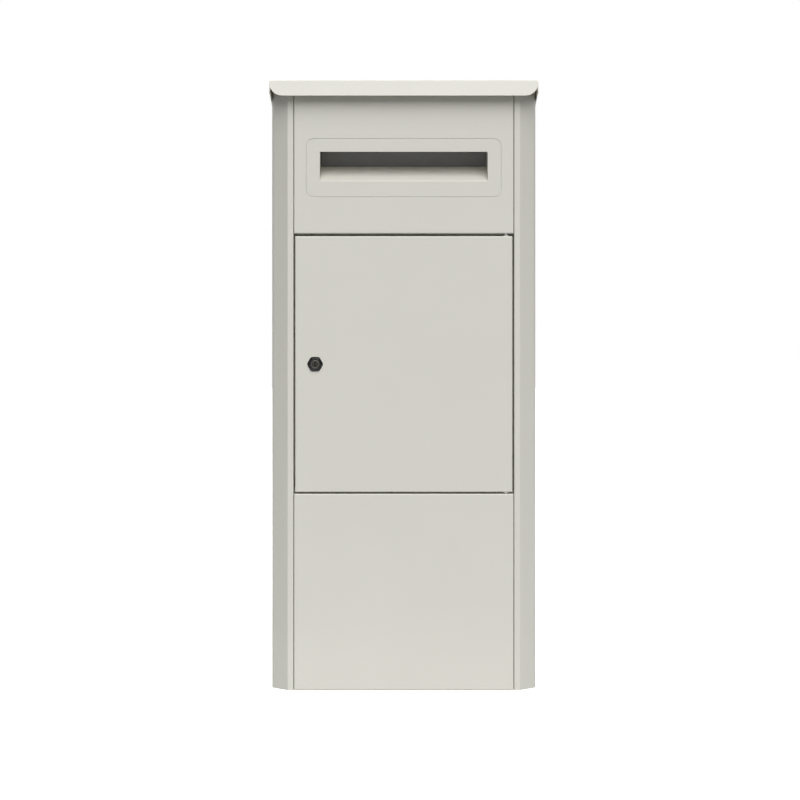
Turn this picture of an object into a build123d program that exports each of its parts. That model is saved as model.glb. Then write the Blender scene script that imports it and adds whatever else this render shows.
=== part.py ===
"""Parcel drop box: folded-steel cabinet with a letter slot, a lockable door and a parcel lid.

Millimetres, +Z up, the front faces -Y. The origin is on the floor, in the middle of the
four anchor holes. Every part is drawn where it sits with the door shut and the lid down.
"""
from build123d import *
import os
from math import cos, radians, sin, tan

os.makedirs("parts", exist_ok=True)

# Cabinet
SHEET = 1.2
HALF_WIDTH = 218.0
FRONT_Y = -170.0
REAR_Y = 170.0
CORNER = 27.0            # 45 degree corner between front strip and side
STRIP_X = 190.5          # outer edge of the flat strip beside the door
JAMB_X = 181.0           # face of the jamb beside the door
STOP_X = 165.0           # free edge of the door stop flange
STOP_Y = FRONT_Y + 22.0  # front face of the door stop flange
REAR_FLANGE = 20.0
PANEL_HALF = 180.2       # half width of the two fixed front panels
PANEL_DEPTH = 15.0
ANCHOR_X, ANCHOR_Y, ANCHOR_HOLE = 150.0, 110.0, 12.0

# Front, from the floor up
LOWER_TOP = 322.3
DOOR_BOTTOM, DOOR_TOP = 324.9, 745.1
UPPER_BOTTOM = 749.3
UPPER_TOP = 995.0
FLOOR_Z = 320.3          # underside of the compartment floor

# Letter slot
PLATE_W, PLATE_H, PLATE_Z, PLATE_R = 319.4, 95.2, 857.5, 12.5
SLOT_HALF, SLOT_BOTTOM, SLOT_TOP = 137.75, 836.2, 883.5
CHUTE_HALF, CHUTE_TOP, CHUTE_REAR = 138.2, 897.8, -99.0
RAMP_END_Y, RAMP_END_Z = -112.0, 864.5
FLAP_Y, FLAP_Z, FLAP_DROP = -108.0, 892.5, 33.0

# Door and lock
DOOR_HALF, DOOR_DEPTH = 178.3, 14.0
HINGE_X, HINGE_Y = 168.0, FRONT_Y + 6.0
LOCK_X, LOCK_Z = -145.5, 535.0
CAM_Y = STOP_Y + 2.5     # front face of the lock cam, behind the stop flange

# Lid
LID_HALF = 220.0
LID_SLOPE = 3.0
LID_FRONT_Y, LID_FRONT_Z = FRONT_Y - 12.0, 999.0
LID_LIP = 25.4           # drop of the front lip
LID_SKIRT = 38.0         # drop of the sides
PIVOT_Y = REAR_Y - 14.0
PIVOT_Z = LID_FRONT_Z + (PIVOT_Y - LID_FRONT_Y) * tan(radians(LID_SLOPE)) - 17.0
LID_LENGTH = (PIVOT_Y + 16.0 - LID_FRONT_Y) / cos(radians(LID_SLOPE))

# Tipping tray and its links
ARM = 80.0               # pivot to link pin, on the lid and on the tray
ARM_DROP = 35.0          # degrees below level with the lid down
LINK_LENGTH = 220.0
TRAY_DROP = 70.0         # degrees the tray hangs below level with the lid down
TRAY_PIVOT_Z = PIVOT_Z - LINK_LENGTH
LID_PIN_Y = PIVOT_Y - ARM * cos(radians(ARM_DROP))
LID_PIN_Z = PIVOT_Z - ARM * sin(radians(ARM_DROP))
TRAY_LENGTH, CHEEK_X, CHEEK_HEIGHT = 290.0, 186.8, 50.0
TRAY_FLOOR = -10.0       # tray floor below its pivot, with the tray level
STOP_PIN_Y = -60.0
STOP_PIN_Z = TRAY_PIVOT_Z + TRAY_FLOOR + CHEEK_HEIGHT + 6.8

# Fastener positions
PANEL_SCREW_Z = (60, 270, 800, 940)
REAR_RIVET_Z = (70, 210, 350, 490, 630, 770, 910)
RAIL_RIVET_Z = (328, 742)
BASE_RIVET_Y = (-60, 60, 130)
LEDGE_RIVET_Y = (-100, 0, 100)


def block(x0, x1, y0, y1, z0, z1):
    """Rectangular block between two opposite corners."""
    return Pos((x0 + x1) / 2, (y0 + y1) / 2, (z0 + z1) / 2) * Box(x1 - x0, y1 - y0, z1 - z0)


def rod_x(x0, x1, y, z, radius):
    """Round bar along X."""
    return Pos((x0 + x1) / 2, y, z) * Rot(0, 90, 0) * Cylinder(radius, x1 - x0)


def rod_y(x, y0, y1, z, radius):
    """Round bar along Y."""
    return Pos(x, (y0 + y1) / 2, z) * Rot(90, 0, 0) * Cylinder(radius, y1 - y0)


def rod_z(x, y, z0, z1, radius):
    """Round bar along Z."""
    return Pos(x, y, (z0 + z1) / 2) * Cylinder(radius, z1 - z0)


def joined(shapes):
    """One shape made of all the shapes in a list."""
    return sum(shapes[1:], shapes[0])


def both_sides(shape):
    """The shape and its mirror image across the middle of the box."""
    return shape + mirror(shape, Plane.YZ)


def folded(path, bends, thickness=SHEET):
    """Cross-section of a folded sheet that follows a path, with the metal to the left of it."""
    points = [Vector(*p) for p in path]
    runs = [(b - a).normalized() for a, b in zip(points, points[1:])]
    lefts = [Vector(-run.Y, run.X) for run in runs]
    back = [points[0] + lefts[0] * thickness]
    face_radii, back_radii = [], []
    for i, bend in enumerate(bends):
        meet = lefts[i] + lefts[i + 1]
        back.append(points[i + 1] + meet * (thickness / (1 + lefts[i].dot(lefts[i + 1]))))
        turns_left = runs[i].cross(runs[i + 1]).Z > 0
        face_radii.append(bend + thickness if turns_left else bend)
        back_radii.append(bend if turns_left else bend + thickness)
    back.append(points[-1] + lefts[-1] * thickness)
    outline = [FilletPolyline(*points, radius=face_radii), Line(points[-1], back[-1]),
               FilletPolyline(*back, radius=back_radii), Line(back[0], points[0])]
    return make_face([edge for piece in outline for edge in piece.edges()])


def along_x(profile, x0, x1):
    """Extrude a (y, z) cross-section from x0 to x1."""
    return extrude(Plane.YZ.offset(x0) * profile, x1 - x0)


def along_z(profile, z0, z1):
    """Extrude an (x, y) cross-section from z0 to z1."""
    return extrude(Plane.XY.offset(z0) * profile, z1 - z0)


def along_y(sketch, y0, y1):
    """Extrude an (x, z) outline from y0 to y1."""
    return extrude(Plane((0, y1, 0), x_dir=(1, 0, 0), z_dir=(0, -1, 0)) * sketch, y1 - y0)


def pan(half_width, z0, z1, depth):
    """Front panel pressed as a shallow pan: a face with its four edges turned back."""
    outer = block(-half_width, half_width, FRONT_Y, FRONT_Y + depth, z0, z1)
    outer = fillet(outer.faces().sort_by(Axis.Y)[0].edges(), 2.0)
    inner = block(-half_width + SHEET, half_width - SHEET, FRONT_Y + SHEET, FRONT_Y + depth,
                  z0 + SHEET, z1 - SHEET)
    inner = fillet(inner.faces().sort_by(Axis.Y)[0].edges(), 0.8)
    return outer - inner


def hat(half_width, height, base):
    """Top-hat stiffener section standing up from the line y = base."""
    path = [(-half_width - 12, base), (-half_width, base), (-half_width, base + height),
            (half_width, base + height), (half_width, base), (half_width + 12, base)]
    return folded(path, [0.8] * 4, 1.0)


def lid_top(y):
    """Height of the lid's top surface at a distance y from the middle of the box."""
    return LID_FRONT_Z + (y - LID_FRONT_Y) * tan(radians(LID_SLOPE))


# --- Cabinet -------------------------------------------------------------------------

def side_panel():
    """Right side: stop flange, jamb, front strip, corner, side and rear flange in one sheet."""
    path = [(STOP_X, STOP_Y), (JAMB_X, STOP_Y), (JAMB_X, FRONT_Y), (STRIP_X, FRONT_Y),
            (HALF_WIDTH, FRONT_Y + CORNER), (HALF_WIDTH, REAR_Y),
            (HALF_WIDTH - REAR_FLANGE, REAR_Y)]
    panel = along_z(folded(path, [1.0, 0.8, 2.0, 14.0, 1.5]), 0, 1020)
    roof = Polyline((-200, lid_top(-200) - 4.2), (PIVOT_Y, lid_top(PIVOT_Y) - 4.2),
                    (REAR_Y + 2, PIVOT_Z + 2), (REAR_Y + 2, 1040), (-200, 1040), close=True)
    panel -= along_x(make_face(roof.edges()), 150, 230)
    panel -= rod_x(210, 225, PIVOT_Y, PIVOT_Z, 4.1)
    panel -= rod_x(210, 225, PIVOT_Y, TRAY_PIVOT_Z, 5.1)
    for y in BASE_RIVET_Y:
        panel -= rod_x(210, 225, y, 16, 2.1)
    for y in LEDGE_RIVET_Y:
        panel -= rod_x(210, 225, y, 309, 2.1)
    for z in PANEL_SCREW_Z:
        panel -= rod_x(178, 185, FRONT_Y + 9, z, 2.2)
    for z in REAR_RIVET_Z:
        panel -= rod_y(208, 160, 175, z, 2.1)
    for z in RAIL_RIVET_Z:
        panel -= rod_y(172, STOP_Y - 5, STOP_Y + 5, z, 2.1)
    return panel - rod_x(210, 225, STOP_PIN_Y, STOP_PIN_Z, 3.1)


def rear_panel():
    """Back sheet, riveted inside the rear flanges, with its top edge turned in."""
    face = REAR_Y - SHEET - 0.1
    top = PIVOT_Z + 3.5
    panel = along_x(folded([(face, 3), (face, top), (PIVOT_Y - 4, top)], [1.5]), -214, 214)
    waste = block(199, 216, PIVOT_Y - 6, face - SHEET - 0.1, top - 12, top + 2)
    for z in REAR_RIVET_Z:
        waste += rod_y(208, 160, 175, z, 2.1)
    return panel - both_sides(waste)


def base_plate():
    """Floor pan with turned-up sides and four anchor holes."""
    wall = HALF_WIDTH - SHEET - 0.1
    rear = REAR_Y - 2 * SHEET - 1.0
    sides = folded([(-wall, 32), (-wall, 0), (wall, 0), (wall, 32)], [2.0, 2.0], 1.5)
    plate = along_y(sides, FRONT_Y + 42, rear)
    plate += block(-204, 204, STOP_Y + 2, FRONT_Y + 45, 0, 1.5)
    plate += block(-204, 204, STOP_Y + 2, STOP_Y + 3.5, 0, 24)
    for x in (-ANCHOR_X, ANCHOR_X):
        for y in (-ANCHOR_Y, ANCHOR_Y):
            plate -= rod_z(x, y, -2, 4, ANCHOR_HOLE / 2)
    for y in BASE_RIVET_Y:
        plate -= rod_x(-230, 230, y, 16, 2.1)
    return plate


def upper_front_panel():
    """Fixed panel above the door, cut out for the letter slot plate."""
    panel = pan(PANEL_HALF, UPPER_BOTTOM, UPPER_TOP, PANEL_DEPTH)
    hole = Pos(0, PLATE_Z) * RectangleRounded(PLATE_W + 1.0, PLATE_H + 1.0, PLATE_R + 0.5)
    panel -= along_y(hole, FRONT_Y - 1, FRONT_Y + 3)
    panel -= rod_z(HINGE_X, HINGE_Y, UPPER_BOTTOM - 1, UPPER_BOTTOM + 3, 2.6)
    for z in (800, 940):
        panel -= rod_x(-190, 190, FRONT_Y + 9, z, 2.2)
    return panel


def lower_front_panel():
    """Fixed panel below the door, closing the plinth."""
    panel = pan(PANEL_HALF, 0, LOWER_TOP, PANEL_DEPTH)
    panel -= rod_z(HINGE_X, HINGE_Y, LOWER_TOP - 3, LOWER_TOP + 1, 2.6)
    for z in (60, 270):
        panel -= rod_x(-190, 190, FRONT_Y + 9, z, 2.2)
    return panel


def lower_panel_stiffener():
    """Top-hat section spot-welded across the back of the lower panel."""
    across = Plane((-150, FRONT_Y + SHEET, 165), x_dir=(0, 0, -1), z_dir=(1, 0, 0))
    return extrude(across * hat(18, 11, 0), 300)


def header_rail():
    """Z-section across the top of the door opening; it stops the door and holds its upper pin."""
    level = UPPER_BOTTOM + SHEET + 0.3
    path = [(FRONT_Y + SHEET + 0.1, level + 26), (FRONT_Y + SHEET + 0.1, level),
            (STOP_Y - SHEET, level), (STOP_Y - SHEET, level - 15)]
    rail = along_x(folded(path, [0.8, 0.8]), -178, 178)
    rail -= rod_z(HINGE_X, HINGE_Y, level - 3, level + 3, 2.6)
    for x in (-172, 172):
        rail -= rod_y(x, STOP_Y - 5, STOP_Y + 5, RAIL_RIVET_Z[1], 2.1)
    return rail


def sill_rail():
    """Z-section across the bottom of the door opening; it holds the door's lower pin."""
    level = LOWER_TOP - SHEET - 0.3
    path = [(STOP_Y - SHEET, level + 15), (STOP_Y - SHEET, level),
            (FRONT_Y + SHEET + 0.1, level), (FRONT_Y + SHEET + 0.1, level - 26)]
    rail = along_x(folded(path, [0.8, 0.8]), -178, 178)
    rail -= rod_z(HINGE_X, HINGE_Y, level - 3, level + 3, 2.6)
    for x in (-172, 172):
        rail -= rod_y(x, STOP_Y - 5, STOP_Y + 5, RAIL_RIVET_Z[0], 2.1)
    return rail


def store_floor():
    """Removable floor of the compartment, folded down at the front and rear."""
    path = [(STOP_Y + 2, FLOOR_Z - 14), (STOP_Y + 2, FLOOR_Z + 1.5), (REAR_Y - 6, FLOOR_Z + 1.5),
            (REAR_Y - 6, FLOOR_Z - 14)]
    floor = along_x(folded(path[::-1], [1.2, 1.2], 1.5), -210, 210)
    for x in (-205, 205):
        for y in (-90, 90):
            floor -= rod_z(x, y, FLOOR_Z - 2, FLOOR_Z + 3, 2.2)
    return floor


def floor_ledges():
    """Two angles on the side panels that carry the compartment floor."""
    wall = HALF_WIDTH - SHEET - 0.1
    ledge = folded([(wall, 298), (wall, FLOOR_Z), (196, FLOOR_Z)], [1.2], 1.5)
    ledge = along_y(ledge, -125, 150)
    for y in LEDGE_RIVET_Y:
        ledge -= rod_x(205, 225, y, 309, 2.1)
    for y in (-90, 90):
        ledge -= rod_z(205, y, FLOOR_Z - 3, FLOOR_Z + 3, 2.0)
    return both_sides(ledge)


def floor_mat():
    """Rubber mat lying on the compartment floor."""
    mat = block(-195, 195, STOP_Y + 8, REAR_Y - 12, FLOOR_Z + 1.5, FLOOR_Z + 4.5)
    return fillet(mat.edges().filter_by(Axis.Z), 8)


# --- Letter slot ---------------------------------------------------------------------

def slot_plate():
    """Flush plate with the letter opening; its lower edge is folded into a rising ramp."""
    plate = along_y(Pos(0, PLATE_Z) * RectangleRounded(PLATE_W, PLATE_H, PLATE_R),
                    FRONT_Y, FRONT_Y + SHEET)
    plate -= block(-SLOT_HALF, SLOT_HALF, FRONT_Y - 1, FRONT_Y + 3, SLOT_BOTTOM - 8, SLOT_TOP)
    path = [(RAMP_END_Y, RAMP_END_Z), (FRONT_Y, SLOT_BOTTOM), (FRONT_Y, SLOT_BOTTOM - 8)]
    return plate + along_x(folded(path, [1.2]), -SLOT_HALF, SLOT_HALF)


def slot_chute():
    """Frame behind the slot plate with two cheeks and a roof that carry the flap."""
    back = FRONT_Y + SHEET
    frame = along_y(Pos(0, PLATE_Z) * RectangleRounded(PLATE_W + 30, PLATE_H + 28, 20),
                    back + 0.05, back + SHEET + 0.05)
    frame -= block(-CHUTE_HALF, CHUTE_HALF, back - 1, back + 3, SLOT_BOTTOM - 13, CHUTE_TOP)
    shell = block(-CHUTE_HALF - SHEET, CHUTE_HALF + SHEET, back + 0.5, CHUTE_REAR,
                  SLOT_BOTTOM - 13, CHUTE_TOP + SHEET)
    shell -= block(-CHUTE_HALF, CHUTE_HALF, back - 1, CHUTE_REAR + 1, SLOT_BOTTOM - 14, CHUTE_TOP)
    hem = block(-CHUTE_HALF - SHEET, CHUTE_HALF + SHEET, CHUTE_REAR - SHEET, CHUTE_REAR,
                CHUTE_TOP, CHUTE_TOP + 10)
    return frame + shell + hem - rod_x(-150, 150, FLAP_Y, FLAP_Z, 2.1)


def slot_flap():
    """Dark gravity flap rolled round its rod at the top edge."""
    half = CHUTE_HALF - 1
    sleeve = rod_x(-half, half, FLAP_Y, FLAP_Z, 4)
    leaf = block(-half, half, FLAP_Y - 1.0, FLAP_Y + 1.0, FLAP_Z - FLAP_DROP, FLAP_Z - 2)
    leaf = fillet(leaf.faces().sort_by(Axis.Z)[0].edges().filter_by(Axis.Y), 4)
    return sleeve + leaf - rod_x(-half - 1, half + 1, FLAP_Y, FLAP_Z, 2.05)


def flap_rod():
    """Steel rod through the chute cheeks that the flap hangs on."""
    return rod_x(-144, 144, FLAP_Y, FLAP_Z, 2)


def flap_rod_clips():
    """Push-on clips at the two ends of the flap rod."""
    clip = rod_x(139.6, 141, FLAP_Y, FLAP_Z, 4.5) - rod_x(139, 142, FLAP_Y, FLAP_Z, 2.02)
    return both_sides(clip)


# --- Door and lock -------------------------------------------------------------------

def door_panel():
    """Door pressed as a pan, with holes for the lock and for the pivot bushes."""
    door = pan(DOOR_HALF, DOOR_BOTTOM, DOOR_TOP, DOOR_DEPTH)
    door -= rod_y(LOCK_X, FRONT_Y - 1, FRONT_Y + 3, LOCK_Z, 8.1)
    for z in (DOOR_BOTTOM, DOOR_TOP):
        door -= rod_z(HINGE_X, HINGE_Y, z - 2, z + 2, 3.8)
    return door


def door_stiffener():
    """Top-hat section spot-welded down the inside of the door."""
    return along_z(hat(22, 11, FRONT_Y + SHEET), DOOR_BOTTOM + 18, DOOR_TOP - 18)


def door_pivot_bushes():
    """Flanged nylon bushes in the top and bottom edges of the door."""
    low = rod_z(HINGE_X, HINGE_Y, DOOR_BOTTOM - 1, DOOR_BOTTOM, 5)
    low += rod_z(HINGE_X, HINGE_Y, DOOR_BOTTOM - 0.5, DOOR_BOTTOM + 6, 3.75)
    high = rod_z(HINGE_X, HINGE_Y, DOOR_TOP, DOOR_TOP + 1, 5)
    high += rod_z(HINGE_X, HINGE_Y, DOOR_TOP - 6, DOOR_TOP + 0.5, 3.75)
    return low + high - rod_z(HINGE_X, HINGE_Y, DOOR_BOTTOM - 9, DOOR_TOP + 9, 2.55)


def door_pivot_pins():
    """Steel pins pushed through the rails and fixed panels into the door bushes."""
    low = rod_z(HINGE_X, HINGE_Y, LOWER_TOP - 12, DOOR_BOTTOM + 8, 2.5)
    low += rod_z(HINGE_X, HINGE_Y, LOWER_TOP - 6, LOWER_TOP - 2 * SHEET - 0.8, 3.2)
    high = rod_z(HINGE_X, HINGE_Y, DOOR_TOP - 8, UPPER_BOTTOM + 12, 2.5)
    high += rod_z(HINGE_X, HINGE_Y, UPPER_BOTTOM + 2 * SHEET + 0.8, UPPER_BOTTOM + 6, 3.2)
    return low + high


def lock_rosette():
    """Black bevelled hexagonal collar round the lock on the face of the door."""
    outline = RegularPolygon(13.5, 6)
    outline = Pos(LOCK_X, LOCK_Z) * fillet(outline.vertices(), 3)
    collar = along_y(outline, FRONT_Y - 3.2, FRONT_Y - 0.05)
    collar = chamfer(collar.faces().sort_by(Axis.Y)[0].edges(), 1.8)
    return collar - rod_y(LOCK_X, FRONT_Y - 5, FRONT_Y + 1, LOCK_Z, 8.15)


def lock_housing():
    """Barrel of the cam lock, reaching back from the rosette to the cam."""
    barrel = rod_y(LOCK_X, FRONT_Y - 2.6, STOP_Y - 1.5, LOCK_Z, 8.0)
    return barrel - rod_y(LOCK_X, FRONT_Y - 4, STOP_Y, LOCK_Z, 5.45)


def lock_plug():
    """Turning core of the lock with its keyway and a tail for the cam."""
    plug = rod_y(LOCK_X, FRONT_Y - 2.3, STOP_Y - 1.5, LOCK_Z, 5.4)
    plug += rod_y(LOCK_X, STOP_Y - 2, CAM_Y + 2.5, LOCK_Z, 4.0)
    plug -= block(LOCK_X - 0.7, LOCK_X + 0.7, FRONT_Y - 3, FRONT_Y + 9, LOCK_Z - 3.8, LOCK_Z + 3.8)
    return plug - rod_y(LOCK_X, CAM_Y - 8, CAM_Y + 3, LOCK_Z, 1.7)


def lock_nut():
    """Nut that clamps the lock barrel to the inside of the door."""
    ring = Pos(LOCK_X, LOCK_Z) * (RegularPolygon(12.5, 6) - Circle(8.05))
    return along_y(ring, FRONT_Y + SHEET + 0.05, FRONT_Y + 7)


def lock_cam():
    """Flat locking tongue; it hangs down unlocked and turns out behind the stop flange."""
    tongue = Pos(LOCK_X, LOCK_Z - 10) * RectangleRounded(14, 34, 5)
    return along_y(tongue, CAM_Y, CAM_Y + 2.5) - rod_y(LOCK_X, CAM_Y - 1, CAM_Y + 4, LOCK_Z, 4.05)


def lock_cam_screw():
    """Screw that holds the cam on the plug."""
    head = rod_y(LOCK_X, CAM_Y + 2.55, CAM_Y + 5.5, LOCK_Z, 5)
    return head + rod_y(LOCK_X, CAM_Y - 7, CAM_Y + 3, LOCK_Z, 1.65)


def door_buffers():
    """Rubber buffers on the stop flange that the closed door rests against."""
    return joined([rod_y(-172, STOP_Y - 7.4, STOP_Y, z, 5) for z in (370, 470, 600, 700)])


# --- Lid -----------------------------------------------------------------------------

def lid():
    """Parcel lid: sloping top, leaning front lip with round corners, deep sides, rear drip edge."""
    rear = LID_LENGTH
    inside = LID_HALF - SHEET
    skirt = folded([(LID_HALF, -LID_SKIRT), (LID_HALF, 0), (-LID_HALF, 0), (-LID_HALF, -LID_SKIRT)],
                   [1.8, 1.8])
    shell = along_y(skirt, 3, rear - 3)
    # the lower edge of each side rises towards the front lip
    taper = Polyline((-10, -17), (75, -LID_SKIRT), (75, -50), (-10, -50), close=True)
    taper = along_x(make_face(taper.edges()), -230, 230)
    shell -= taper
    lip = along_x(folded([(3, 0), (0, 0), (-10.0, -LID_LIP)], [1.8]), -LID_HALF, LID_HALF)
    drip = along_x(folded([(rear, -7), (rear, 0), (rear - 3, 0)], [1.5]), -LID_HALF, LID_HALF)
    outline = Pos(0, -LID_LIP / 2) * Rectangle(2 * LID_HALF, LID_LIP + 0.1)
    outline = fillet(outline.vertices().sort_by(Axis.Y)[:2], 22)
    outline = fillet(outline.vertices().sort_by(Axis.Y)[-2:], 3)
    waste = block(-260, 260, -30, rear + 12, -70, 12)
    shell += lip - (waste - along_y(outline, -20, 5))
    shell += drip - (waste - along_y(outline, rear - 5, rear + 5))
    # the sides reach forward behind the lip and back to the drip edge
    front_edge = Polyline((3.5, -4), (-0.2, -4), (-6.0, -18), (3.5, -20), close=True)
    cheek = along_x(make_face(front_edge.edges()), inside, LID_HALF)
    cheek += block(inside, LID_HALF, rear - 3.5, rear, -LID_SKIRT, -4)
    shell += both_sides(cheek)
    shell = shell.moved(Pos(0, LID_FRONT_Y, LID_FRONT_Z) * Rot(LID_SLOPE, 0, 0))
    return shell - rod_x(-230, 230, PIVOT_Y, PIVOT_Z, 4.06)


def lid_stiffener():
    """Top-hat section welded across the underside of the lid."""
    across = Plane((-175, 150, -SHEET), x_dir=(0, -1, 0), z_dir=(1, 0, 0))
    bar = extrude(across * hat(20, 11, 0), 350)
    return Pos(0, LID_FRONT_Y, LID_FRONT_Z) * Rot(LID_SLOPE, 0, 0) * bar


def lid_pivot_bolts():
    """Shoulder bolts with domed heads that the lid turns on."""
    bolt = rod_x(205, LID_HALF + 0.4, PIVOT_Y, PIVOT_Z, 4.0)
    head = rod_x(LID_HALF + 0.3, LID_HALF + 3.6, PIVOT_Y, PIVOT_Z, 8.5)
    head = fillet(head.edges().filter_by(GeomType.CIRCLE).sort_by(Axis.X)[-1], 2.6)
    return both_sides(bolt + head)


def lid_pivot_nuts():
    """Nuts that hold the lid bolts inside the side panels."""
    nut = extrude(Plane((209, PIVOT_Y, PIVOT_Z), z_dir=(1, 0, 0)) * RegularPolygon(7.5, 6), 7.1)
    return both_sides(nut - rod_x(205, 220, PIVOT_Y, PIVOT_Z, 4.05))


def lid_pivot_washers():
    """Nylon washers between the lid and the side panels."""
    washer = rod_x(HALF_WIDTH + 0.05, HALF_WIDTH + 0.45, PIVOT_Y, PIVOT_Z, 9)
    return both_sides(washer - rod_x(210, 225, PIVOT_Y, PIVOT_Z, 4.05))


def lid_buffers():
    """Rubber pads on the upper panel that the closed lid rests on."""
    pad = rod_z(150, FRONT_Y + 8, UPPER_TOP, UPPER_TOP + 3.2, 6)
    return both_sides(pad)


def lid_link_brackets():
    """Plates hanging from the lid that hold the upper ends of the links."""
    under = [lid_top(LID_PIN_Y + d) - SHEET / cos(radians(LID_SLOPE)) - 0.02 for d in (-32, 32)]
    web = Polyline((LID_PIN_Y - 32, under[0]), (LID_PIN_Y + 32, under[1]),
                   (LID_PIN_Y + 11, LID_PIN_Z), (LID_PIN_Y - 11, LID_PIN_Z), close=True)
    foot = Polyline((LID_PIN_Y - 32, under[0]), (LID_PIN_Y + 32, under[1]),
                    (LID_PIN_Y + 32, under[1] - 2), (LID_PIN_Y - 32, under[0] - 2), close=True)
    plate = along_x(make_face(web.edges()), 196, 198) + rod_x(196, 198, LID_PIN_Y, LID_PIN_Z, 11)
    plate += along_x(make_face(foot.edges()), 180, 198)
    return both_sides(plate - rod_x(190, 200, LID_PIN_Y, LID_PIN_Z, 4.05))


def lid_bracket_nuts():
    """Nuts on the weld studs that hold the brackets to the lid."""
    nuts = []
    for y in (LID_PIN_Y - 22, LID_PIN_Y + 22):
        place = Pos(188, y, lid_top(y) - SHEET - 5.6) * Rot(LID_SLOPE, 0, 0)
        nuts.append(place * extrude(RegularPolygon(4.6, 6), 3.2))
    return both_sides(joined(nuts))


def lid_link_pins():
    """Riveted pins joining the brackets to the upper ends of the links."""
    pin = rod_x(188, 200, LID_PIN_Y, LID_PIN_Z, 4.0)
    pin += rod_x(187, 189, LID_PIN_Y, LID_PIN_Z, 7) + rod_x(198.05, 200, LID_PIN_Y, LID_PIN_Z, 6)
    return both_sides(pin)


def lid_link_washers():
    """Washers that keep the links off the brackets."""
    washer = rod_x(194.35, 195.95, LID_PIN_Y, LID_PIN_Z, 7)
    return both_sides(washer - rod_x(190, 198, LID_PIN_Y, LID_PIN_Z, 4.05))


# --- Links and tipping tray ----------------------------------------------------------

def link():
    """Right-hand flat link between the lid bracket and the tray."""
    low = LID_PIN_Z - LINK_LENGTH
    bar = block(190, 194, LID_PIN_Y - 8, LID_PIN_Y + 8, low, LID_PIN_Z)
    for z in (low, LID_PIN_Z):
        bar += rod_x(190, 194, LID_PIN_Y, z, 8)
        bar -= rod_x(185, 199, LID_PIN_Y, z, 4.08)
    return bar


def hung(shape):
    """Turn a shape drawn with the tray level about its pivot into the hanging rest position."""
    return shape.moved(Pos(0, PIVOT_Y, TRAY_PIVOT_Z) * Rot(TRAY_DROP, 0, 0))


def parcel_tray():
    """Tray that tips parcels into the compartment: floor, front fold and two cheeks."""
    floor = along_x(folded([(-TRAY_LENGTH, TRAY_FLOOR - 14), (-TRAY_LENGTH, TRAY_FLOOR),
                            (-10, TRAY_FLOOR)][::-1], [1.5], 1.5), -CHEEK_X, CHEEK_X)
    outline = Polyline((-TRAY_LENGTH, TRAY_FLOOR - 1.5), (-TRAY_LENGTH, 6), (-TRAY_LENGTH + 40, 40),
                       (-14, 40), (0, 12), (9, 0), (-4, TRAY_FLOOR - 1.5), close=True)
    cheek = along_x(make_face(outline.edges()), CHEEK_X - 0.1, CHEEK_X + SHEET)
    pin_y, pin_z = tray_pin()
    cheek += rod_x(CHEEK_X, CHEEK_X + SHEET, pin_y, pin_z, 10)
    cheek -= rod_x(180, 195, 0, 0, 7.05)
    cheek -= rod_x(180, 195, pin_y, pin_z, 4.05)
    return hung(floor + both_sides(cheek))


def tray_pin():
    """Position of the link pin from the tray pivot with the tray level."""
    angle = radians(TRAY_DROP - ARM_DROP)
    return -ARM * cos(angle), ARM * sin(angle)


def tray_mat():
    """Ribbed rubber sheet glued to the tray floor."""
    mat = block(-178, 178, -TRAY_LENGTH + 12, -22, TRAY_FLOOR, TRAY_FLOOR + 2.5)
    return hung(mat)


def tray_bushes():
    """Flanged nylon bushes in the tray cheeks."""
    bush = rod_x(CHEEK_X - 1.3, CHEEK_X + 3.2, 0, 0, 7.0)
    bush += rod_x(CHEEK_X + SHEET + 0.05, CHEEK_X + 3.2, 0, 0, 9)
    return hung(both_sides(bush - rod_x(180, 195, 0, 0, 5.06)))


def tray_pivot_pins():
    """Pins with domed heads through the side panels that the tray hangs on."""
    pin = rod_x(183, HALF_WIDTH + 0.4, PIVOT_Y, TRAY_PIVOT_Z, 5.0)
    head = rod_x(HALF_WIDTH + 0.05, HALF_WIDTH + 3.2, PIVOT_Y, TRAY_PIVOT_Z, 9)
    head = fillet(head.edges().filter_by(GeomType.CIRCLE).sort_by(Axis.X)[-1], 2.4)
    return both_sides(pin + head)


def tray_pivot_spacers():
    """Tubes on the pins that centre the tray between the side panels."""
    tube = rod_x(190.6, HALF_WIDTH - SHEET - 0.05, PIVOT_Y, TRAY_PIVOT_Z, 8)
    return both_sides(tube - rod_x(180, 220, PIVOT_Y, TRAY_PIVOT_Z, 5.05))


def tray_link_pins():
    """Pins on the tray cheeks that the lower ends of the links turn on."""
    low = LID_PIN_Z - LINK_LENGTH
    pin = rod_x(185, 197, LID_PIN_Y, low, 4.0) + rod_x(184.6, CHEEK_X - 0.15, LID_PIN_Y, low, 7)
    return both_sides(pin)


def tray_link_clips():
    """Washer and spring clip each side of the link on the tray pins."""
    low = LID_PIN_Z - LINK_LENGTH
    rings = rod_x(188.05, 189.6, LID_PIN_Y, low, 7) + rod_x(194.4, 195.6, LID_PIN_Y, low, 6)
    return both_sides(rings - rod_x(180, 200, LID_PIN_Y, low, 4.05))


def tray_stop_pins():
    """Pins through the side panels that stop the tray when it is level."""
    pin = rod_x(186.4, HALF_WIDTH + 0.2, STOP_PIN_Y, STOP_PIN_Z, 3.0)
    head = rod_x(HALF_WIDTH + 0.05, HALF_WIDTH + 2.6, STOP_PIN_Y, STOP_PIN_Z, 6)
    head = fillet(head.edges().filter_by(GeomType.CIRCLE).sort_by(Axis.X)[-1], 1.8)
    return both_sides(pin + head)


def tray_stop_sleeves():
    """Rubber sleeves on the tray stop pins."""
    sleeve = rod_x(186, HALF_WIDTH - SHEET - 0.1, STOP_PIN_Y, STOP_PIN_Z, 6)
    return both_sides(sleeve - rod_x(180, 220, STOP_PIN_Y, STOP_PIN_Z, 3.05))


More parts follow.
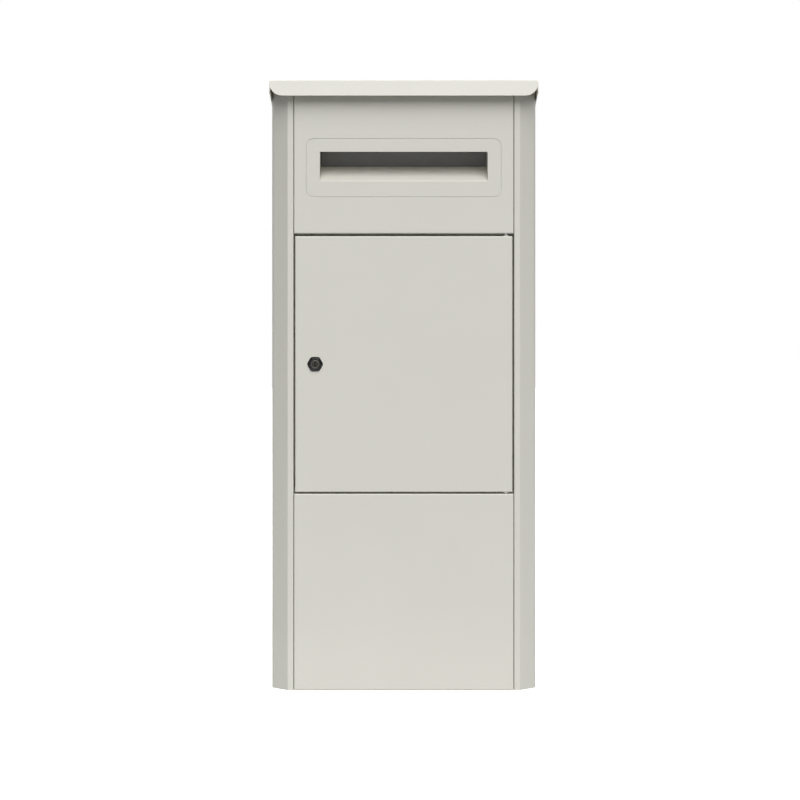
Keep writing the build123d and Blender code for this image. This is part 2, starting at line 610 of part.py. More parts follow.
# --- Fasteners -----------------------------------------------------------------------

def front_panel_screws():
    """Pan-head screws through the folded edges of the fixed panels into the jambs."""
    inside = PANEL_HALF - SHEET
    screws = []
    for z in PANEL_SCREW_Z:
        head = rod_x(inside - 2.4, inside - 0.05, FRONT_Y + 9, z, 4)
        head = fillet(head.edges().filter_by(GeomType.CIRCLE).sort_by(Axis.X)[0], 1.2)
        screws.append(head + rod_x(inside - 0.5, JAMB_X + 6, FRONT_Y + 9, z, 2.0))
    return both_sides(joined(screws))


def front_panel_nuts():
    """Nuts on the panel screws behind the jambs."""
    nuts = []
    for z in PANEL_SCREW_Z:
        face = Plane((JAMB_X + SHEET + 0.05, FRONT_Y + 9, z), z_dir=(1, 0, 0))
        nut = extrude(face * RegularPolygon(4.0, 6), 3.0)
        nuts.append(nut - rod_x(JAMB_X, JAMB_X + 9, FRONT_Y + 9, z, 2.05))
    return both_sides(joined(nuts))


def rivet_x(y, z):
    """Domed rivet through the right side panel and the flange inside it."""
    head = rod_x(HALF_WIDTH + 0.05, HALF_WIDTH + 1.6, y, z, 4)
    head = fillet(head.edges().filter_by(GeomType.CIRCLE).sort_by(Axis.X)[-1], 1.2)
    tail = rod_x(HALF_WIDTH - 4.6, HALF_WIDTH - 2.9, y, z, 3.2)
    return head + rod_x(HALF_WIDTH - 4, HALF_WIDTH + 0.5, y, z, 2.0) + tail


def side_rivets():
    """Rivets from the side panels into the base plate and the floor ledges."""
    low = [rivet_x(y, 16) for y in BASE_RIVET_Y]
    high = [rivet_x(y, 309) for y in LEDGE_RIVET_Y]
    return both_sides(joined(low + high))


def rear_rivets():
    """Rivets joining the rear panel to the rear flanges."""
    rivets = []
    for z in REAR_RIVET_Z:
        head = rod_y(208, REAR_Y + 0.05, REAR_Y + 1.6, z, 4)
        head = fillet(head.edges().filter_by(GeomType.CIRCLE).sort_by(Axis.Y)[-1], 1.2)
        tail = rod_y(208, REAR_Y - 4.4, REAR_Y - 2 * SHEET - 0.15, z, 3.2)
        rivets.append(head + rod_y(208, REAR_Y - 4, REAR_Y + 0.5, z, 2.0) + tail)
    return both_sides(joined(rivets))


def rail_rivets():
    """Rivets, flush in front, joining the two rails to the stop flanges."""
    rivets = []
    for z in RAIL_RIVET_Z:
        tail = rod_y(172, STOP_Y + SHEET + 0.05, STOP_Y + SHEET + 1.5, z, 3.4)
        rivets.append(rod_y(172, STOP_Y - SHEET, STOP_Y + SHEET + 0.5, z, 2.0) + tail)
    return both_sides(joined(rivets))


def floor_screws():
    """Pan-head screws holding the compartment floor to its ledges."""
    screws = []
    for y in (-90, 90):
        head = rod_z(205, y, FLOOR_Z + 1.55, FLOOR_Z + 4, 4)
        head = fillet(head.edges().filter_by(GeomType.CIRCLE).sort_by(Axis.Z)[-1], 1.2)
        screws.append(head + rod_z(205, y, FLOOR_Z - 6, FLOOR_Z + 2, 1.95))
    return both_sides(joined(screws))


NODES = {
    "left_side_panel": mirror(side_panel(), Plane.YZ),
    "right_side_panel": side_panel(),
    "rear_panel": rear_panel(),
    "base_plate": base_plate(),
    "upper_front_panel": upper_front_panel(),
    "lower_front_panel": lower_front_panel(),
    "lower_panel_stiffener": lower_panel_stiffener(),
    "door_header_rail": header_rail(),
    "door_sill_rail": sill_rail(),
    "store_floor": store_floor(),
    "floor_ledges": floor_ledges(),
    "floor_mat": floor_mat(),
    "slot_plate": slot_plate(),
    "slot_chute": slot_chute(),
    "slot_flap": slot_flap(),
    "flap_rod": flap_rod(),
    "flap_rod_clips": flap_rod_clips(),
    "door_panel": door_panel(),
    "door_stiffener": door_stiffener(),
    "door_pivot_bushes": door_pivot_bushes(),
    "door_pivot_pins": door_pivot_pins(),
    "lock_rosette": lock_rosette(),
    "lock_housing": lock_housing(),
    "lock_plug": lock_plug(),
    "lock_nut": lock_nut(),
    "lock_cam": lock_cam(),
    "lock_cam_screw": lock_cam_screw(),
    "door_buffers": door_buffers(),
    "lid": lid(),
    "lid_stiffener": lid_stiffener(),
    "lid_pivot_bolts": lid_pivot_bolts(),
    "lid_pivot_nuts": lid_pivot_nuts(),
    "lid_pivot_washers": lid_pivot_washers(),
    "lid_buffers": lid_buffers(),
    "lid_link_brackets": lid_link_brackets(),
    "lid_bracket_nuts": lid_bracket_nuts(),
    "lid_link_pins": lid_link_pins(),
    "lid_link_washers": lid_link_washers(),
    "link_right": link(),
    "link_left": mirror(link(), Plane.YZ),
    "parcel_tray": parcel_tray(),
    "tray_mat": tray_mat(),
    "tray_bushes": tray_bushes(),
    "tray_pivot_pins": tray_pivot_pins(),
    "tray_pivot_spacers": tray_pivot_spacers(),
    "tray_link_pins": tray_link_pins(),
    "tray_link_clips": tray_link_clips(),
    "tray_stop_pins": tray_stop_pins(),
    "tray_stop_sleeves": tray_stop_sleeves(),
    "front_panel_screws": front_panel_screws(),
    "front_panel_nuts": front_panel_nuts(),
    "side_rivets": side_rivets(),
    "rear_rivets": rear_rivets(),
    "rail_rivets": rail_rivets(),
    "floor_screws": floor_screws(),
}

for name, shape in NODES.items():
    export_step(shape, f"parts/{name}.step")
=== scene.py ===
"""Parcel drop box: looks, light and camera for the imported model. Metres, front faces -Y, +Z up."""
import bpy
import numpy as np
from math import radians
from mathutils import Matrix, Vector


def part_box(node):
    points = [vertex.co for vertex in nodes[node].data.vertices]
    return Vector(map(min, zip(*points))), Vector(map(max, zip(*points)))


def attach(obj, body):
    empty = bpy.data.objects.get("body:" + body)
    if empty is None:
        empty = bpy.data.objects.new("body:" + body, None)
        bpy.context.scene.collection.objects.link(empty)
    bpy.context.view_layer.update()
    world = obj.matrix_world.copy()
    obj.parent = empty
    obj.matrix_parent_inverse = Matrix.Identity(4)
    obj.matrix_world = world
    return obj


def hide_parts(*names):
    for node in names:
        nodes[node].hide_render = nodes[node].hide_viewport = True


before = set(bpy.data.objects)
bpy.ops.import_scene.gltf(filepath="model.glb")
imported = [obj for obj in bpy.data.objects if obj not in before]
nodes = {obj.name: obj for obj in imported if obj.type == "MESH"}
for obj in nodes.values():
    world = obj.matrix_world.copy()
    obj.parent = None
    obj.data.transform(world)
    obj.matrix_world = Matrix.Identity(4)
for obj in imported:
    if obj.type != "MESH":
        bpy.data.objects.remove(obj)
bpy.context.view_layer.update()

# ---------------------------------------------------------------------------
# Sheet-steel body: side panels, rear, base, front panels, rails, floor, door,
# lid, slot plate, chute and tray. Mild steel, folded, riveted and sprayed with
# one warm light grey powder coat, which is baked on.
# ---------------------------------------------------------------------------
MM = 0.001


def linear(hex_colour, alpha=1.0):
    """Scene-linear colour of an sRGB hex value, by the sRGB curve."""
    srgb = [int(hex_colour[i:i + 2], 16) / 255 for i in (1, 3, 5)]
    return [c / 12.92 if c <= 0.04045 else ((c + 0.055) / 1.055) ** 2.4 for c in srgb] + [alpha]


def add_node(material, kind, values={}, links={}, **settings):
    """Adds a node: settings are its properties, values its input numbers, links its joined inputs."""
    node = material.node_tree.nodes.new(kind)
    for name, value in settings.items():
        setattr(node, name, value)
    for name, value in values.items():
        node.inputs[name].default_value = value
    for name, source in links.items():
        material.node_tree.links.new(source, node.inputs[name])
    return node


def new_material(name):
    """An empty node material and its object coordinates, in metres."""
    material = bpy.data.materials.new(name)
    material.use_nodes = True
    material.node_tree.nodes.clear()
    coords = add_node(material, "ShaderNodeTexCoord")
    return material, coords.outputs["Object"]


def finish_material(material, values, links):
    """Joins a Principled shader with these values and links to the output."""
    shader = add_node(material, "ShaderNodeBsdfPrincipled", values, links)
    add_node(material, "ShaderNodeOutputMaterial", links={"Surface": shader.outputs["BSDF"]})


def wave_scale(size_mm):
    """Noise scale that gives bumps about this many millimetres across."""
    return 1 / (size_mm * MM)


def coat(material, *names):
    """Gives CAD nodes this material in place of the one they came with."""
    for name in names:
        nodes[name].data.materials.clear()
        nodes[name].data.materials.append(material)


# Polyester powder coat: sprayed and baked. It gives an even satin skin with a
# fine orange peel and very slight cloudiness. The real peel is about 1.5 mm
# across and is drawn at 5 mm so that it shows.
powder, where = new_material("Powder_coat_light_grey")
cloud = add_node(powder, "ShaderNodeTexNoise", {"Scale": wave_scale(160), "Detail": 3.0},
                 {"Vector": where})
tone = add_node(powder, "ShaderNodeMix", {"A": linear("#DBD9D0"), "B": linear("#D6D4CB")},
                {"Factor": cloud.outputs["Fac"]}, data_type="RGBA")
peel = add_node(powder, "ShaderNodeTexNoise", {"Scale": wave_scale(5), "Detail": 2.0},
                {"Vector": where})
gloss = add_node(powder, "ShaderNodeMapRange", {"To Min": 0.40, "To Max": 0.50},
                 {"Value": cloud.outputs["Fac"]})
skin = add_node(powder, "ShaderNodeBump", {"Strength": 0.12, "Distance": 0.05 * MM},
                {"Height": peel.outputs["Fac"]})
finish_material(powder, {"IOR": 1.5},
                {"Base Color": tone.outputs["Result"], "Roughness": gloss.outputs["Result"],
                 "Normal": skin.outputs["Normal"]})
coat(powder, "left_side_panel", "right_side_panel", "rear_panel", "base_plate", "upper_front_panel",
     "lower_front_panel", "lower_panel_stiffener", "door_header_rail", "door_sill_rail",
     "store_floor", "floor_ledges", "slot_plate", "slot_chute", "door_panel", "door_stiffener",
     "lid", "lid_stiffener", "lid_link_brackets", "parcel_tray", "tray_pivot_pins")

# ---------------------------------------------------------------------------
# Blind rivets: aluminium, through the side panels into the base plate and the
# floor ledges, and through the rear flanges into the rear panel. They are set
# before painting, so they wear the same coat, with the pulled stem sunk inside.
# ---------------------------------------------------------------------------
def closed_surface(name, skins, ends=True):
    """One mesh of closed skins. A skin is a grid of points, rows along it and columns round it:
    neighbouring points make the faces, and one face closes each end. Without ends the last row
    joins the first, as on a ring. The faces are turned to point outwards, which is the way that
    makes the volume added up over them positive."""
    points, faces, first = [], [], 0
    for skin in skins:
        rows, columns = skin.shape[:2]
        index = np.arange(rows * columns).reshape(rows, columns)
        loop = index if ends else np.concatenate([index, index[:1]])
        beside = np.roll(loop, -1, axis=1)
        quads = np.stack([loop[:-1], beside[:-1], beside[1:], loop[1:]], axis=-1).reshape(-1, 4)
        flat = skin.reshape(-1, 3)
        a, b, c, d = np.moveaxis((flat - flat.mean(axis=0))[quads], 1, 0)
        turn = 1 if (a * (np.cross(b, c) + np.cross(c, d))).sum() > 0 else -1
        faces += (quads + first)[:, ::turn].tolist()
        if ends:
            faces += [(index[0, ::-turn] + first).tolist(), (index[-1, ::turn] + first).tolist()]
        points.append(flat)
        first += rows * columns
    mesh = bpy.data.meshes.new(name)
    mesh.from_pydata(np.concatenate(points).tolist(), [], faces)
    mesh.shade_smooth()
    mesh.set_sharp_from_angle(angle=radians(32))
    piece = bpy.data.objects.new(name, mesh)
    bpy.context.scene.collection.objects.link(piece)
    return piece


def turned(profile, steps=32):
    """Grid for a turned shape: each (distance along the axis, radius) of the profile in mm is
    carried round a full circle. Columns are along, across and up, in metres."""
    along, radius = np.array(profile).T[..., None] * MM
    angle = np.linspace(0, 2 * np.pi, steps, endpoint=False)
    return np.stack([along + 0 * angle, radius * np.cos(angle), radius * np.sin(angle)], axis=-1)


# Rivet profile and places in mm. The last four points are the hole of the pulled stem.
RIVET = [(-4.6, 0.4), (-4.6, 2.6), (-4.0, 3.2), (-3.1, 3.2), (-2.9, 2.0), (0.05, 2.0), (0.05, 4.0),
         (0.4, 3.9), (0.9, 3.4), (1.3, 2.6), (1.55, 1.9), (1.6, 1.35), (1.5, 1.15), (0.9, 1.1),
         (0.75, 0.9), (0.8, 0.3)]
HEAD_HEIGHT = 1.6
BASE_ROW = [(-60, 16), (60, 16), (130, 16)]
FLOOR_ROW = [(-100, 309), (0, 309), (100, 309)]
REAR_ROW_X = 208
side_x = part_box("right_side_panel")[1][0]
rear_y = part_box("rear_rivets")[1][1] - HEAD_HEIGHT * MM
rivet = turned(RIVET)
side_rivet_heads = closed_surface("side_rivet_heads", [
    rivet * (side, 1, 1) + (side * side_x, y * MM, z * MM)
    for y, z in BASE_ROW + FLOOR_ROW for side in (1, -1)])
rear_rivet_heads = closed_surface("rear_rivet_heads", [
    rivet[..., (1, 0, 2)] + (x * MM, rear_y, z * MM)
    for z in range(70, 911, 140) for x in (-REAR_ROW_X, REAR_ROW_X)])
for piece, node in ((side_rivet_heads, "side_rivets"), (rear_rivet_heads, "rear_rivets")):
    piece.data.materials.append(powder)
    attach(piece, "cabinet")
    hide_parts(node)

# ---------------------------------------------------------------------------
# Lid bolts: shoulder bolts with low domed heads and a hexagon socket for a key.
# Their heads are touched in with the body colour after assembly.
# ---------------------------------------------------------------------------
BOLT = [(-14.5, 0.6), (-14.5, 3.5), (-14.0, 3.95), (0.35, 3.95), (0.35, 8.4), (0.7, 8.5),
        (1.5, 8.3), (2.3, 7.7), (2.9, 6.9), (3.3, 5.8), (3.55, 4.6), (3.6, 3.5)]
SOCKET = [(3.55, 2.75), (3.3, 2.5), (1.2, 2.5), (0.9, 2.2), (0.7, 0.4)]
BOLT_STEPS = 48
# The socket's radius grows by 1 / cosine of the angle from the middle of the nearest flat.
round_socket = np.linspace(0, 2 * np.pi, BOLT_STEPS, endpoint=False)
from_flat = (round_socket + np.pi / 6) % (np.pi / 3) - np.pi / 6
key_socket = turned(SOCKET, BOLT_STEPS)
key_socket[..., 1:] /= np.cos(from_flat)[:, None]
bolt = np.concatenate([turned(BOLT, BOLT_STEPS), key_socket])
bolt_y, bolt_z = np.mean(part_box("lid_pivot_bolts"), axis=0)[1:]
head_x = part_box("lid_pivot_bolts")[1][0] - BOLT[-1][0] * MM
lid_bolts = closed_surface("lid_bolts", [
    bolt * (side, 1, 1) + (side * head_x, bolt_y, bolt_z) for side in (1, -1)])
lid_bolts.data.materials.append(powder)
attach(lid_bolts, "cabinet")
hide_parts("lid_pivot_bolts")

# ---------------------------------------------------------------------------
# Spot welds: each stiffener is held by rows of welds, which leave a shallow round
# dimple with a raised edge in the flange, still seen under the paint.
# ---------------------------------------------------------------------------
def turned_about_x(points, angle):
    """Points turned about the X axis: y and z are mixed by the cosine and sine of the angle."""
    x, y, z = np.moveaxis(points, -1, 0)
    return np.stack([x, y * np.cos(angle) - z * np.sin(angle),
                     y * np.sin(angle) + z * np.cos(angle)], axis=-1)


# Weld profile and places in mm, on the door along the stiffener's two flanges.
WELD = [(-0.5, 0.3), (-0.5, 3.6), (0.02, 3.6), (0.2, 3.2), (0.22, 2.9), (0.08, 2.4), (0.03, 1.2),
        (0.05, 0.3)]
FLANGE_EDGE, FLANGE_END, SHEET = 6, 20, 1
weld = turned(WELD, 24)
low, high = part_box("door_stiffener")
door_welds = closed_surface("door_weld_marks", [
    weld[..., (1, 0, 2)] + (x, low[1] + SHEET * MM, z)
    for z in np.linspace(low[2] + FLANGE_END * MM, high[2] - FLANGE_END * MM, 9)
    for x in (low[0] + FLANGE_EDGE * MM, high[0] - FLANGE_EDGE * MM)])
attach(door_welds, "door")

# The lid's welds are set out on its slope, from the front edge of the lid.
LID_SLOPE = radians(3)
LID_FRONT = np.array((0, -182, 999)) * MM
FLANGE_ROWS, FLANGE_FACE = (124, 176), -2.2
weld_down = weld[..., (1, 2, 0)] * (1, 1, -1)
lid_welds = closed_surface("lid_weld_marks", [
    turned_about_x(weld_down + (x * MM, y * MM, FLANGE_FACE * MM), LID_SLOPE) + LID_FRONT
    for y in FLANGE_ROWS for x in np.linspace(-155, 155, 8)])
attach(lid_welds, "lid")
for piece in (door_welds, lid_welds):
    piece.data.materials.append(powder)

# ---------------------------------------------------------------------------
# Links, pins, nuts, screws and clips: steel with bright zinc plate, which has a
# faint spangle and a soft, slightly blue shine.
# ---------------------------------------------------------------------------
zinc, where = new_material("Zinc_plated_steel")
spangle = add_node(zinc, "ShaderNodeTexNoise", {"Scale": wave_scale(6), "Detail": 4.0},
                   {"Vector": where})
tone = add_node(zinc, "ShaderNodeMix", {"A": linear("#BFC3C6"), "B": linear("#A9ACAD")},
                {"Factor": spangle.outputs["Fac"]}, data_type="RGBA")
gloss = add_node(zinc, "ShaderNodeMapRange", {"To Min": 0.25, "To Max": 0.45},
                 {"Value": spangle.outputs["Fac"]})
finish_material(zinc, {"Metallic": 1.0},
                {"Base Color": tone.outputs["Result"], "Roughness": gloss.outputs["Result"]})
coat(zinc, "link_left", "link_right", "lid_link_pins", "lid_link_washers", "lid_bracket_nuts",
     "lid_pivot_nuts", "tray_link_pins", "tray_link_clips", "tray_pivot_spacers", "tray_stop_pins",
     "door_pivot_pins", "flap_rod", "flap_rod_clips", "front_panel_screws", "front_panel_nuts",
     "floor_screws", "rail_rivets", "lock_nut", "lock_cam", "lock_cam_screw")

# ---------------------------------------------------------------------------
# Slot flap: extruded from dark grey polypropylene with a sleeve for its rod at
# the top and a bead along its lower edge, and lightly grained. It hangs behind
# the slot, shows there as a dark band, and swings in as a letter goes through.
# The grain is really about 0.5 mm across and is drawn at 3 mm.
# ---------------------------------------------------------------------------
flap_plastic, where = new_material("Polypropylene_dark_grey")
grain = add_node(flap_plastic, "ShaderNodeTexVoronoi", {"Scale": wave_scale(3)}, {"Vector": where})
skin = add_node(flap_plastic, "ShaderNodeBump", {"Strength": 0.3, "Distance": 0.1 * MM},
                {"Height": grain.outputs["Distance"]})
cloud = add_node(flap_plastic, "ShaderNodeTexNoise", {"Scale": wave_scale(40)}, {"Vector": where})
tone = add_node(flap_plastic, "ShaderNodeMix", {"A": linear("#838384"), "B": linear("#7C7C7D")},
                {"Factor": cloud.outputs["Fac"]}, data_type="RGBA")
finish_material(flap_plastic, {"Roughness": 0.6, "IOR": 1.49},
                {"Base Color": tone.outputs["Result"], "Normal": skin.outputs["Normal"]})


def extrusion(section, start, end, order=(0, 1, 2)):
    """Grid for a straight run: the closed section of two columns, in metres, is carried along an
    axis from start to end. Its columns and the run are put in order as x, y and z."""
    run = np.array((start, end))[:, None]
    first, second = section.T
    return np.stack([run + 0 * first, first + 0 * run, second + 0 * run], axis=-1)[..., order]


low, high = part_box("slot_flap")
axis_y, axis_z = np.mean(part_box("flap_rod"), axis=0)[1:]
SLEEVE_RADIUS, BEAD_RADIUS = 4 * MM, 1.6 * MM
round_sleeve = np.radians(np.linspace(-75, 255, 40))
round_bead = np.radians(np.linspace(180, 360, 14))
bead_centre = (0, low[2] - axis_z + BEAD_RADIUS)
section = np.concatenate([
    np.stack([np.cos(round_sleeve), np.sin(round_sleeve)], axis=-1) * SLEEVE_RADIUS,
    np.array([(-1, -6), (-1, -28)]) * MM,
    np.stack([np.cos(round_bead), np.sin(round_bead)], axis=-1) * BEAD_RADIUS + bead_centre,
    np.array([(1, -28), (1, -6)]) * MM])
flap = closed_surface("slot_flap_moulding", [extrusion(section + (axis_y, axis_z), low[0], high[0])])
flap.data.materials.append(flap_plastic)
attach(flap, "flap")
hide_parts("slot_flap")

# ---------------------------------------------------------------------------
# Bushes and washers: natural nylon, moulded, off-white and slightly waxy.
# ---------------------------------------------------------------------------
nylon, where = new_material("Nylon_natural")
cloud = add_node(nylon, "ShaderNodeTexNoise", {"Scale": wave_scale(12)}, {"Vector": where})
tone = add_node(nylon, "ShaderNodeMix", {"A": linear("#E6E2D6"), "B": linear("#DCD7C8")},
                {"Factor": cloud.outputs["Fac"]}, data_type="RGBA")
finish_material(nylon, {"Roughness": 0.35, "IOR": 1.53, "Subsurface Weight": 0.1,
                        "Subsurface Scale": 1 * MM},
                {"Base Color": tone.outputs["Result"]})
coat(nylon, "door_pivot_bushes", "lid_pivot_washers", "tray_bushes")

# ---------------------------------------------------------------------------
# Buffers, stop sleeves and mats: black EPDM rubber, moulded, matt and a little
# dusty.
# ---------------------------------------------------------------------------
rubber, where = new_material("EPDM_rubber_black")
dust = add_node(rubber, "ShaderNodeTexNoise", {"Scale": wave_scale(8), "Detail": 5.0},
                {"Vector": where})
tone = add_node(rubber, "ShaderNodeMix", {"A": linear("#2B2B2B"), "B": linear("#383735")},
                {"Factor": dust.outputs["Fac"]}, data_type="RGBA")
skin = add_node(rubber, "ShaderNodeBump", {"Strength": 0.3, "Distance": 0.1 * MM},
                {"Height": dust.outputs["Fac"]})
finish_material(rubber, {"Roughness": 0.75, "IOR": 1.52},
                {"Base Color": tone.outputs["Result"], "Normal": skin.outputs["Normal"]})
coat(rubber, "tray_stop_sleeves")


def ribbed(left, right, bottom, top, pitch=8 * MM, height=1.2 * MM):
    """Closed section of ribbed sheet in (x, z): flat below, and above it a row of round-shouldered
    ribs, where the height is a cosine of x whose tops and bottoms are cut off level."""
    x = np.linspace(left, right, int(round((right - left) / pitch)) * 10 + 1)
    wave = np.clip(1.5 * np.cos(2 * np.pi * (x - left) / pitch), -1, 1)
    upper = np.stack([x, top - height * (0.5 - 0.5 * wave)], axis=-1)
    return np.concatenate([upper, [(right, bottom), (left, bottom)]])


FRONT_TO_BACK = (1, 0, 2)
low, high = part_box("floor_mat")
section = ribbed(low[0], high[0], low[2], high[2])
floor_mat = closed_surface("floor_mat_ribbed", [extrusion(section, low[1], high[1], FRONT_TO_BACK)])
floor_mat.data.materials.append(rubber)
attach(floor_mat, "cabinet")
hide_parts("floor_mat")

# The mat and the trim of the tray are set out level from its pivot, then turned to hang.
pivot_y, pivot_z = np.mean(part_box("tray_pivot_pins"), axis=0)[1:]
HANG = radians(70)
section = ribbed(-178 * MM, 178 * MM, -10 * MM, -7.5 * MM)
level_mat = extrusion(section, -278 * MM, -22 * MM, FRONT_TO_BACK)
tray_mat = closed_surface("tray_mat_ribbed", [turned_about_x(level_mat, HANG) + (0, pivot_y, pivot_z)])
tray_mat.data.materials.append(rubber)
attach(tray_mat, "tray")
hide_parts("tray_mat")

# Edge trim: a soft channel pushed onto the tray's front fold, so that it can't
# scratch a parcel or a hand. Its section is a U with a round outer end.
bend = np.radians(np.linspace(0, -180, 17))
outer = np.stack([2.4 * np.cos(bend), 2.4 * np.sin(bend) - 23.6], axis=-1)
inner = [(-2.4, -17), (-0.8, -17.4), (-0.8, -24), (0.8, -24), (0.8, -17.4)]
section = (np.concatenate([[(2.4, -17)], outer, inner]) + (-289.25, 0)) * MM
level_trim = extrusion(section, -185 * MM, 185 * MM)
tray_trim = closed_surface("tray_edge_trim", [turned_about_x(level_trim, HANG) + (0, pivot_y, pivot_z)])
tray_trim.data.materials.append(rubber)
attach(tray_trim, "tray")

# Buffers: push-in rubber studs with a rounded nose. Four stop the door against
# the flange beside it, and two flatter ones carry the front of the lid.
STUD = [(0, 0.3), (0, 4.6), (0.4, 5.0), (1.4, 5.0), (1.7, 4.4), (2.2, 4.4), (2.6, 4.9), (5.4, 4.6),
        (6.6, 3.9), (7.2, 2.7), (7.4, 1.2), (7.4, 0.3)]
STUD_HEIGHTS = (370, 470, 600, 700)
PAD = [(0, 0.3), (0, 5.8), (0.3, 6.0), (1.6, 6.0), (2.4, 5.6), (2.9, 4.7), (3.15, 3.2), (3.2, 1.4),
       (3.2, 0.3)]
PAD_RADIUS = 6
low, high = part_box("door_buffers")
stud = turned(STUD)[..., (1, 0, 2)] * (1, -1, 1)
door_studs = closed_surface("door_buffer_studs", [
    stud + ((low[0] + high[0]) / 2, high[1], z * MM) for z in STUD_HEIGHTS])
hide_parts("door_buffers")
low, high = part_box("lid_buffers")
pad = turned(PAD)[..., (1, 2, 0)]
lid_pads = closed_surface("lid_buffer_pads", [
    pad + (side * (high[0] - PAD_RADIUS * MM), (low[1] + high[1]) / 2, low[2]) for side in (1, -1)])
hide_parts("lid_buffers")
for piece in (door_studs, lid_pads):
    piece.data.materials.append(rubber)
    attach(piece, "cabinet")

# ---------------------------------------------------------------------------
# Cam lock: a black nylon collar with six flats round a die-cast zinc barrel and
# plug. The collar is glossy; the castings are plated black and dulled by keys.
# ---------------------------------------------------------------------------
cap_black, where = new_material("Glass_filled_nylon_black")
scuff = add_node(cap_black, "ShaderNodeTexNoise", {"Scale": wave_scale(2), "Detail": 4.0},
                 {"Vector": where})
gloss = add_node(cap_black, "ShaderNodeMapRange", {"To Min": 0.16, "To Max": 0.28},
                 {"Value": scuff.outputs["Fac"]})
finish_material(cap_black, {"Base Color": linear("#060606"), "IOR": 1.53, "Specular IOR Level": 0.25},
                {"Roughness": gloss.outputs["Result"]})
# Each (height, radius) of the profile is carried round the bore. Towards the
# outside the circle turns into a hexagon with soft corners: the radius at which the
# 10-norm of the distances along the three flat-to-flat directions is that of a flat.
CAP = [(0, 8.2), (0, 12.0), (0.5, 11.95), (1.2, 11.6), (1.9, 11.0), (2.6, 10.3), (3.0, 9.75),
       (3.2, 9.3), (3.1, 9.1), (2.7, 9.0), (2.6, 8.7), (2.65, 8.4), (2.4, 8.2)]
LOCK_STEPS = 96
low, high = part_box("lock_rosette")
centre = (low + high) / 2
collar = turned(CAP, LOCK_STEPS)
round_bore = np.linspace(0, 2 * np.pi, LOCK_STEPS, endpoint=False)
flats = np.radians([30, 90, 150])
hexagon = (np.abs(np.cos(round_bore[:, None] - flats)) ** 10).sum(axis=1) ** (-1 / 10)
outwards = np.clip((np.array(CAP)[:, 1] - 9.3) / 2, 0, 1)
collar[..., 1:] *= (hexagon ** outwards[:, None])[..., None]
collar = collar[..., (1, 0, 2)] * (1, -1, 1) + (centre[0], high[1], centre[2])
lock_cap = closed_surface("lock_cap", [collar], ends=False)
lock_cap.data.materials.append(cap_black)
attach(lock_cap, "door")
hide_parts("lock_rosette")

casting, where = new_material("Black_plated_die_casting")
scuff = add_node(casting, "ShaderNodeTexNoise", {"Scale": wave_scale(1.5), "Detail": 5.0},
                 {"Vector": where})
gloss = add_node(casting, "ShaderNodeMapRange", {"To Min": 0.25, "To Max": 0.5},
                 {"Value": scuff.outputs["Fac"]})
finish_material(casting, {"Base Color": linear("#3A3835"), "Metallic": 1.0},
                {"Roughness": gloss.outputs["Result"]})
coat(casting, "lock_housing", "lock_plug")

# A nickel ring is pressed round the plug, and wear has dulled it. Its raised rim catches real light,
# and its tone, a little lighter than the castings, is a painted highlight for the barrel's edge.
highlight_nickel, where = new_material("Nickel_plate_painted_highlight")
scuff = add_node(highlight_nickel, "ShaderNodeTexNoise", {"Scale": wave_scale(1), "Detail": 3.0},
                 {"Vector": where})
gloss = add_node(highlight_nickel, "ShaderNodeMapRange", {"To Min": 0.32, "To Max": 0.45},
                 {"Value": scuff.outputs["Fac"]})
# The ring's colour, lighter than the castings, is a painted highlight on the barrel's edge.
finish_material(highlight_nickel, {"Base Color": linear("#64605A"), "Metallic": 1.0},
                {"Roughness": gloss.outputs["Result"]})
RIM = [(2.55, 5.5), (2.55, 6.6), (2.75, 6.5), (2.95, 6.2), (3.0, 5.95), (2.9, 5.7), (2.7, 5.55)]
COLLAR_GAP = 0.05
ring = turned(RIM, LOCK_STEPS)[..., (1, 0, 2)] * (1, -1, 1)
ring += (centre[0], high[1] + COLLAR_GAP * MM, centre[2])
lock_rim = closed_surface("lock_plug_rim", [ring], ends=False)
lock_rim.data.materials.append(highlight_nickel)
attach(lock_rim, "door")

# ---------------------------------------------------------------------------
# Studio: a wide white floor that sheds no light on the box, a broad soft key
# light high in front and a little to the right, a weaker one behind for the
# rear and the left side, a low strip that lifts the plinth, and a white room.
# ---------------------------------------------------------------------------
floor_white = new_material("Studio_floor_white")[0]
finish_material(floor_white, {"Base Color": linear("#FAFAFA"), "Roughness": 0.9,
                              "Emission Color": linear("#FFFFFF"), "Emission Strength": 0.7}, {})
bpy.ops.mesh.primitive_plane_add(size=60)
floor = bpy.context.object
floor.name = "studio_floor"
floor.data.materials.append(floor_white)
floor.visible_diffuse = False

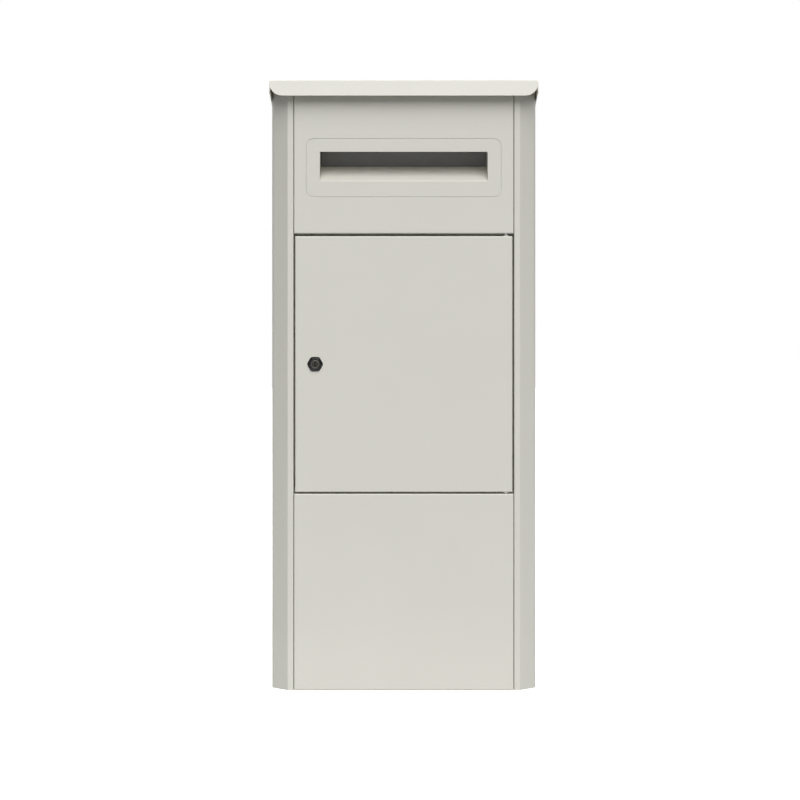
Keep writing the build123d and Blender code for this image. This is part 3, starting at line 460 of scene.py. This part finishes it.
for name, energy, spread, tilt, turn in (("key_light", 2.74, 60, 45, 8),
                                         ("back_light", 1.5, 50, 55, 205)):
    sun = bpy.data.objects.new(name, bpy.data.lights.new(name, "SUN"))
    sun.data.energy = energy
    sun.data.angle = radians(spread)
    sun.rotation_euler = (radians(tilt), 0, radians(turn))
    bpy.context.scene.collection.objects.link(sun)

FRONT_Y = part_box("lower_front_panel")[0][1]
low_strip = bpy.data.objects.new("low_strip", bpy.data.lights.new("low_strip", "AREA"))
low_strip.data.shape = "RECTANGLE"
low_strip.data.size, low_strip.data.size_y = 0.9, 0.05
low_strip.data.energy = 0.08
low_strip.location = (0, FRONT_Y - 0.16, 0.01)
low_strip.rotation_euler = (radians(90), 0, 0)
low_strip.visible_camera = False
low_strip.visible_glossy = False
bpy.context.scene.collection.objects.link(low_strip)

world = bpy.data.worlds.new("studio_surroundings")
world.use_nodes = True
world.node_tree.nodes.clear()
seen = add_node(world, "ShaderNodeBackground", {"Color": linear("#FFFFFF"), "Strength": 1.0})
fill = add_node(world, "ShaderNodeBackground", {"Color": linear("#FFFFFF"), "Strength": 0.25})
ray = add_node(world, "ShaderNodeLightPath")
both = add_node(world, "ShaderNodeMixShader", links={
    0: ray.outputs["Is Camera Ray"], 1: fill.outputs["Background"], 2: seen.outputs["Background"]})
add_node(world, "ShaderNodeOutputWorld", links={"Surface": both.outputs["Shader"]})
bpy.context.scene.world = world
bpy.context.scene.view_settings.view_transform = "Standard"

# ---------------------------------------------------------------------------
# Camera: level, square to the front, 3.3 m away and 0.55 m up. It sees 1.3124 m
# across at the front of the box.
# ---------------------------------------------------------------------------
DISTANCE, HEIGHT, SEEN_WIDTH, SENSOR = 3.3, 0.55, 1.3124, 36
camera = bpy.data.objects.new("camera", bpy.data.cameras.new("camera"))
camera.data.sensor_width = SENSOR
camera.data.lens = SENSOR * DISTANCE / SEEN_WIDTH
camera.data.shift_y = -0.0562
camera.location = (-0.0062, FRONT_Y - DISTANCE, HEIGHT)
camera.rotation_euler = (radians(90), 0, 0)
bpy.context.scene.collection.objects.link(camera)
bpy.context.scene.camera = camera
